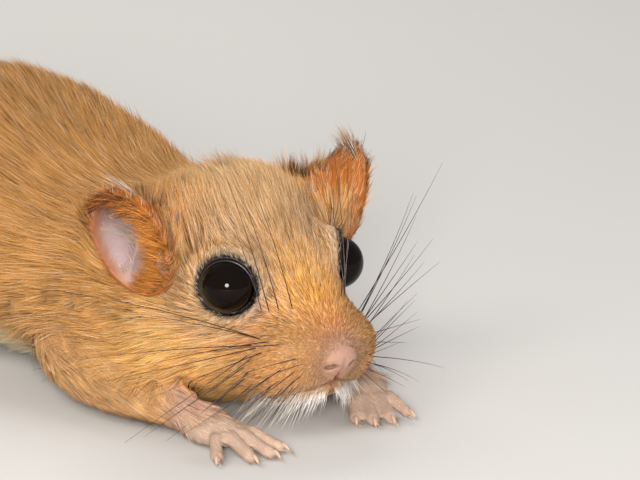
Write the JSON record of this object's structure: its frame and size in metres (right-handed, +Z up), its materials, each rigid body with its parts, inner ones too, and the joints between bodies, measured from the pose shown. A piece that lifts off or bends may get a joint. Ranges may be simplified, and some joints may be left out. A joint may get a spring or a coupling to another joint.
{
  "type": "hazel dormouse",
  "caption": "Life-size model of a hazel dormouse, crouched low on its belly with its chin over its forepaws, large black eyes and a thick furry tail curved to one side.",
  "frame": {"origin": "on the floor, on the flat of fur under the chest that the animal rests on", "axes": "+Z up, -Y the way the nose points, +X the animal's left"},
  "size_m": [0.0625, 0.1085, 0.0224],
  "materials": {
    "coat": "soft dense golden-orange fur",
    "tail_coat": "longer bushy fur, rusty gold",
    "bare_skin": "thin matt pink skin with fine pale hairs",
    "eye": "wet high gloss, near black"
  },
  "bodies": {
    "root": {"head": "coat", "neck": "coat", "chest": "coat", "abdomen": "coat", "rump": "coat", "thigh_right": "coat", "thigh_left": "coat", "foreleg_right": "coat", "foreleg_left": "coat", "tail_base": "tail_coat", "tail_middle": "tail_coat", "tail_tip": "tail_coat", "ear_right": "bare_skin", "ear_left": "bare_skin", "forepaw_right": "bare_skin", "forepaw_left": "bare_skin", "hindfoot_right": "bare_skin", "hindfoot_left": "bare_skin", "eye_right": "eye", "eye_left": "eye"}
  },
  "joints": []
}
